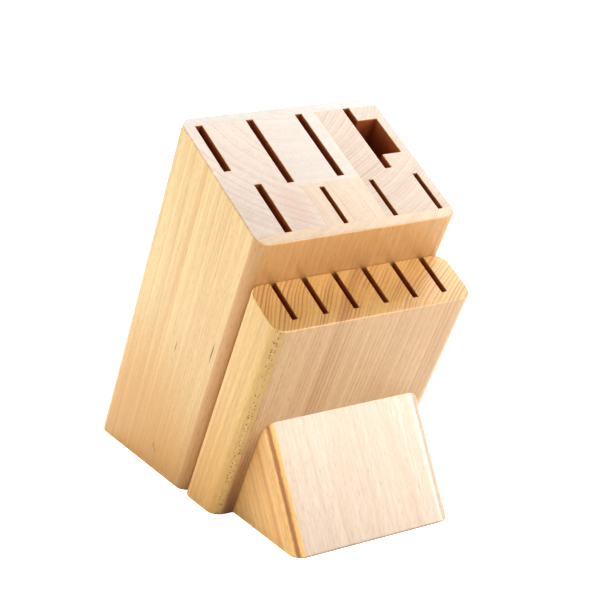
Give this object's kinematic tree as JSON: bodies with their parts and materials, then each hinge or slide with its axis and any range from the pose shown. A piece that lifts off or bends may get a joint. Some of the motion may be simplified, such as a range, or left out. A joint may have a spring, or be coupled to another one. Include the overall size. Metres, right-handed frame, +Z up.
{
  "type": "knife block",
  "caption": "Leaning laminated-beech knife block with slots for large and small knives, a scissors pocket, a lower front block for steak knives and a wedge foot.",
  "frame": {"origin": "on the floor, midway between the toe of the wedge and the heel of the main block, on the blocks' centre line", "axes": "+Z up, -Y towards the front, where the wedge and the steak-knife row are, +X to the right seen from the front"},
  "size_m": [0.13, 0.2408, 0.2336],
  "materials": {
    "beech_planks": "oiled satin beech, long grain with paler end grain",
    "beech_covers": "oiled satin beech boards that close the slots",
    "beech_front_block": "oiled satin beech, striped long grain and marked end grain",
    "beech_wedge": "oiled satin beech, pale flecked face",
    "beech_dowels": "plain hidden beech dowel"
  },
  "bodies": {
    "root": {"front_cover": "beech_covers", "rear_cover": "beech_covers", "left_plank": "beech_planks", "middle_front_stave": "beech_planks", "middle_rear_stave": "beech_planks", "right_plank": "beech_planks", "front_block": "beech_front_block", "support_wedge": "beech_wedge", "wedge_dowel_left": "beech_dowels", "wedge_dowel_right": "beech_dowels"}
  },
  "joints": []
}
